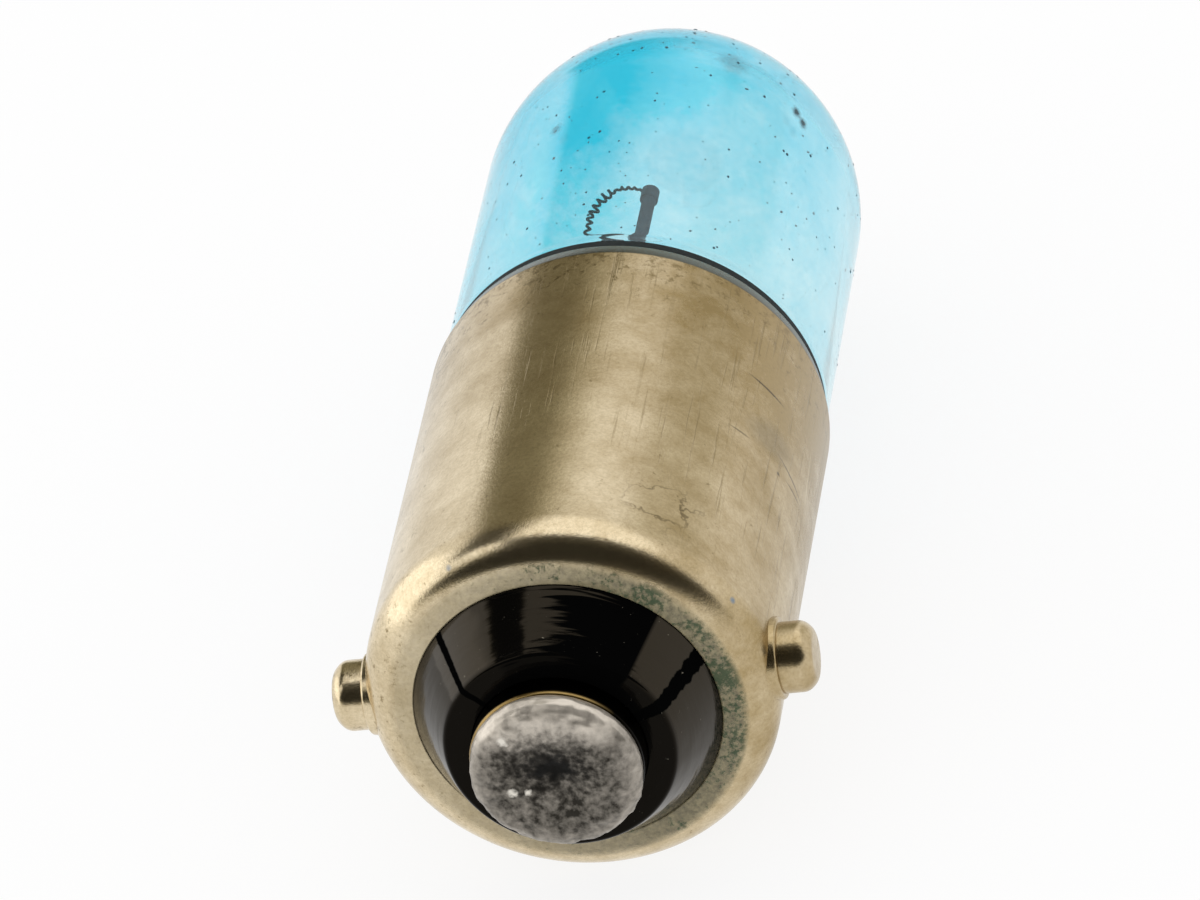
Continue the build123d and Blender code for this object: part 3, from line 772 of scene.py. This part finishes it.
turn = add(tree, "ShaderNodeVectorRotate", {
    "Vector": sideways, "Axis": ahead, "Angle": angle}, rotation_type="AXIS_ANGLE")
open_up = add(tree, "ShaderNodeMapRange", {"Value": share, "From Min": 0.12, "From Max": 0.42, "To Min": 0.25})
wobble = add(tree, "ShaderNodeTexNoise", {"W": given["Seed"], "Scale": 5000.0}, noise_dimensions="4D")
wobble = add(tree, "ShaderNodeMapRange", {"Value": wobble, "From Min": 0.3, "From Max": 0.7, "To Max": 2.1})
width = add(tree, "ShaderNodeMath", {0: open_up, 1: wobble}, operation="MULTIPLY")
width = add(tree, "ShaderNodeMath", {0: width, 1: given["Coil Radius"]}, operation="MULTIPLY")
step = add(tree, "ShaderNodeVectorMath", {0: turn, "Scale": width}, operation="SCALE")
wound = add(tree, "GeometryNodeSetPosition", {"Geometry": spaced, "Offset": step})
section = add(tree, "GeometryNodeCurvePrimitiveCircle", {"Radius": given["Wire Radius"], "Resolution": 6})
drawn = add(tree, "GeometryNodeCurveToMesh", {"Curve": wound, "Profile Curve": section, "Fill Caps": True})
smooth = add(tree, "GeometryNodeSetShadeSmooth", {"Geometry": drawn})
coated = add(tree, "GeometryNodeSetMaterial", {"Geometry": smooth, "Material": tungsten})
add(tree, "NodeGroupOutput", {"Coil": coated})
print("coil tree has", len(tree.nodes), "nodes")

# %% Coil between the leads
def baked(name, tree, identifiers, values, carrier):
    """Runs a node tree on a mesh and returns the result as a plain mesh object."""
    holder = bpy.data.objects.new(name + "_holder", carrier)
    bpy.context.collection.objects.link(holder)
    modifier = holder.modifiers.new(name, "NODES")
    modifier.node_group = tree
    for key, value in values.items():
        modifier[identifiers[key]] = value
    result = bpy.data.meshes.new_from_object(holder.evaluated_get(bpy.context.evaluated_depsgraph_get()))
    holder.modifiers.remove(modifier)
    bpy.data.objects.remove(holder)
    result.name = name
    piece = bpy.data.objects.new(name, result)
    bpy.context.collection.objects.link(piece)
    print(name, len(result.polygons), "faces")
    return piece


def inside_glass(x, up, h):
    """A point from its offset to the right of the axis, its offset upwards and its height."""
    return Vector((x, END_Y + h, AXIS_Z + up)) * MM


coil = baked("filament_coil", tree, sockets, {
    "Start": inside_glass(-0.02, 1.59, 17.62),
    "Middle": inside_glass(-1.27, 1.28, 18.02),
    "End": inside_glass(-1.00, 0.27, 16.67),
    "Turns": 21.0,
    "Coil Radius": 0.00007,
    "Wire Radius": 0.000036,
    "Seed": 3.0,
}, bpy.data.meshes.new("nothing"))

# %% [markdown]
# ## Specks on the glass
# Small dots of lacquer and dust sit all over the glass. Geometry Nodes scatter them: random points on the outer skin,
# a flat bead on each, of random size. The seed is fixed, so every run gives the same specks.

# %% Node tree of the specks
tree, given, sockets = geometry_tree("specks_on_skin", {
    "NodeSocketGeometry": ("Skin",),
    "NodeSocketFloat": ("Density", "Smallest", "Largest"),
    "NodeSocketInt": ("Seed",),
}, "Specks")
points = add(tree, "GeometryNodeDistributePointsOnFaces", {
    "Mesh": given["Skin"], "Density": given["Density"], "Seed": given["Seed"]})
chance = add(tree, "FunctionNodeRandomValue", {"Seed": given["Seed"]}, data_type="FLOAT")
chance = add(tree, "ShaderNodeMath", {0: chance, 1: 4.0}, operation="POWER")
size = add(tree, "ShaderNodeMapRange", {"Value": chance, "To Min": given["Smallest"], "To Max": given["Largest"]})
flat = add(tree, "ShaderNodeVectorMath", {0: (1.0, 0.7, 0.3), "Scale": size}, operation="SCALE")
bead = add(tree, "GeometryNodeMeshIcoSphere", {"Radius": 1.0, "Subdivisions": 2})
beads = add(tree, "GeometryNodeInstanceOnPoints", {
    "Points": points, "Instance": bead, "Rotation": points.outputs["Rotation"], "Scale": flat})
real = add(tree, "GeometryNodeRealizeInstances", {"Geometry": beads})
coated = add(tree, "GeometryNodeSetMaterial", {"Geometry": real, "Material": lacquer})
add(tree, "NodeGroupOutput", {"Specks": coated})
print("speck tree has", len(tree.nodes), "nodes")

# %% Specks
SKIN_START = 12.2
ROUND_SKIN = 96
skin_profile = [(GLASS_RADIUS, SKIN_START), (GLASS_RADIUS, DOME_HEIGHT)] + dome_arc(GLASS_RADIUS) + [(0, GLASS_TOP)]
skin_mesh = bpy.data.meshes.new("outer_skin")
skin = turned("skin", skin_profile, ROUND_SKIN, along_bulb, blue_glass, closed=False, into=bmesh.new())
skin.to_mesh(skin_mesh)
skin.free()
specks = baked("lacquer_specks", tree, sockets, {
    "Density": 2.6e6,
    "Smallest": 0.000009,
    "Largest": 0.000055,
    "Seed": 7,
}, skin_mesh)

# %% [markdown]
# ## What keeps its solid shape
# The leads, the bead and the solder spot at the side are already right in the solid model, so they stay as they are
# and only get their finish.

# %% Finishes for the solid nodes
for name, material in (
    ("lead_wire_contact", lead_metal),
    ("lead_wire_side", lead_metal),
    ("glass_bead", bead_glass),
    ("side_solder", solder),
):
    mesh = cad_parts[name].data
    mesh.materials.clear()
    mesh.materials.append(material)
    print("finish on", name)

# %% Join the pieces to the model
for piece, node_names, finish_slot in (
    (cap, ("cap_shell",), "plated_cap"),
    (pins[0], ("bayonet_pin_right",), "plated_pin"),
    (pins[1], ("bayonet_pin_left",), "plated_pin"),
    (insulator, ("insulator",), "black_glass"),
    (disc, ("contact_eyelet",), "contact_brass"),
    (dome, ("contact_solder",), "solder"),
    (tube, ("glass_envelope",), "blue_glass"),
    (ring, ("basing_cement",), "cement"),
    (coil, ("filament",), "tungsten"),
    (specks, (), "blue_glass"),
):
    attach(piece, "root")
    if node_names:
        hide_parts(*node_names)

# %% [markdown]
# ## The studio
# The bulb lies on a white table in front of a white sheet. Seen directly, through the glass or in the metal, the sheet
# and the table are plain white, and the table keeps a soft shadow.

# %% Floor
floor_mesh = bmesh.new()
FLOOR_RADIUS = 0.6
bmesh.ops.create_circle(floor_mesh, cap_ends=True, segments=96, radius=FLOOR_RADIUS)
floor_finish = bpy.data.materials.new("white_table")
tree = emptied(floor_finish)
matt = add(tree, "ShaderNodeBsdfDiffuse", {"Color": "#FAFAFA"})
white = add(tree, "ShaderNodeEmission", {"Color": (1, 1, 1, 1), "Strength": 1.0})
path = add(tree, "ShaderNodeLightPath")
seen = path.outputs["Is Camera Ray"]
for ray in ("Is Glossy Ray", "Is Transmission Ray"):
    seen = add(tree, "ShaderNodeMath", {0: seen, 1: path.outputs[ray]}, operation="MAXIMUM")
seen = add(tree, "ShaderNodeMath", {0: seen, 1: 0.85}, operation="MULTIPLY")
both = add(tree, "ShaderNodeMixShader", {0: seen, 1: matt, 2: white})
add(tree, "ShaderNodeOutputMaterial", {"Surface": both})
floor = as_piece("floor", floor_mesh, floor_finish)

# %% [markdown]
# The room is drawn in the world by direction, and only what mirrors it sees it. It is bright behind the bulb, at its
# sides and low down all round, and brighter still overhead and far to the left. It is dark in front, where the camera
# stands, and in two gaps between the white sheets, with a brown cast as of wood: without something dark to mirror,
# metal looks like paper. Everything else sees plain white.

# %% World
world = bpy.data.worlds.new("studio")
bpy.context.scene.world = world
tree = emptied(world)
look = add(tree, "ShaderNodeTexCoord")
x, y, z = add(tree, "ShaderNodeSeparateXYZ", {"Vector": look.outputs["Generated"]}).outputs
to_left = add(tree, "ShaderNodeMath", {0: y, 1: -0.30, 2: x}, operation="MULTIPLY_ADD")
to_right = add(tree, "ShaderNodeMath", {0: y, 1: 0.30, 2: x}, operation="MULTIPLY_ADD")
# soft steps: what each is measured along, where it starts and ends, and the two levels that it joins
steps = {}
for name, along, start, end, first, last in (
    ("behind", y, -0.58, -0.44, 0.0, 1.0),
    ("low down", z, 0.20, 0.04, 0.0, 1.0),
    ("overhead", z, 0.60, 0.80, 1.0, 1.35),
    ("left sheet", x, -0.76, -0.84, 1.0, 1.6),
    ("left gap", to_left, -0.745, -0.705, 0.0, 1.0),
    ("right gap", to_right, 0.52, 0.60, 0.0, 1.0),
    ("right gap ends", to_right, 0.88, 0.80, 0.0, 1.0),
    ("above the table", z, 0.04, 0.14, 0.0, 1.0),
):
    steps[name] = add(tree, "ShaderNodeMapRange", {
        "Value": along, "From Min": start, "From Max": end, "To Min": first, "To Max": last},
        interpolation_type="SMOOTHSTEP")
bright = add(tree, "ShaderNodeMath", {0: steps["behind"], 1: steps["low down"]}, operation="MAXIMUM")
for stronger in ("overhead", "left sheet"):
    bright = add(tree, "ShaderNodeMath", {0: bright, 1: steps[stronger]}, operation="MULTIPLY")
# the gap on the left: a strip from the back to overhead, sharp on its left and softer on its right towards the back
gap_edge = add(tree, "ShaderNodeMath", {0: y, 1: 0.135, 2: -0.305}, operation="MULTIPLY_ADD")
gap_dark = add(tree, "ShaderNodeMath", {0: y, 1: -0.13, 2: -0.36}, operation="MULTIPLY_ADD")
gap_end = add(tree, "ShaderNodeMapRange", {"Value": to_left, "From Min": gap_edge, "From Max": gap_dark})
deep = add(tree, "ShaderNodeMapRange", {"Value": y, "From Min": 0.30, "From Max": 0.75, "To Min": 1.0, "To Max": 0.82})
gap = steps["left gap"]
for part in (gap_end, deep):
    gap = add(tree, "ShaderNodeMath", {0: gap, 1: part}, operation="MULTIPLY")
# the gap on the right: only towards the back, and faint
faint = add(tree, "ShaderNodeMapRange", {"Value": y, "From Min": 0.30, "From Max": 0.70, "To Max": 0.30})
gap_two = steps["right gap"]
for part in (steps["right gap ends"], faint):
    gap_two = add(tree, "ShaderNodeMath", {0: gap_two, 1: part}, operation="MULTIPLY")
gap = add(tree, "ShaderNodeMath", {0: gap, 1: gap_two}, operation="MAXIMUM")
gap = add(tree, "ShaderNodeMath", {0: gap, 1: steps["above the table"]}, operation="MULTIPLY")
lit = add(tree, "ShaderNodeMath", {0: gap, 1: -0.985, 2: 1.0}, operation="MULTIPLY_ADD")
lit = add(tree, "ShaderNodeMath", {0: lit, 1: bright}, operation="MULTIPLY")
lit = add(tree, "ShaderNodeMath", {0: lit, 1: 0.015}, operation="ADD")
path = add(tree, "ShaderNodeLightPath")
through = add(tree, "ShaderNodeMath", {0: path.outputs["Transmission Depth"], 1: 0.5}, operation="LESS_THAN")
mirrored = add(tree, "ShaderNodeMath", {0: path.outputs["Is Glossy Ray"], 1: through}, operation="MULTIPLY")
level = add(tree, "ShaderNodeMix", {"Factor": mirrored, "A": 1.0, "B": lit}, data_type="FLOAT")
hue = add(tree, "ShaderNodeMix", {"Factor": level, "A": "#FFF3B8", "B": (1, 1, 1, 1)}, data_type="RGBA")
sky = add(tree, "ShaderNodeBackground", {"Color": hue, "Strength": level})
add(tree, "ShaderNodeOutputWorld", {"Surface": sky})
print("world has", len(tree.nodes), "nodes")

# %% [markdown]
# ## The camera
# The picture was taken from close by with a long lens: from the contact end, a little to the right, and from above,
# with the camera turned so that the bulb leans to the right.

# %% Camera
lens = bpy.data.cameras.new("camera")
SENSOR_MM = 36.0
LENS_MM = 283.75
lens.sensor_width = SENSOR_MM
lens.lens = LENS_MM
lens.clip_start = 0.01
camera = bpy.data.objects.new("camera", lens)
bpy.context.collection.objects.link(camera)
right = Vector((0.974205, 0.121093, -0.190423))
up = Vector((0.090010, 0.565288, 0.819968))
back = right.cross(up).normalized()
spot = Vector((43.6915, END_Y - 164.2634, AXIS_Z + 115.3975)) * MM
camera.matrix_world = Matrix.Translation(spot) @ Matrix((right, up, back)).transposed().to_4x4()
bpy.context.scene.camera = camera
bpy.context.scene.view_settings.view_transform = "Standard"
print("camera", round(spot.length / MM, 1), "mm away")
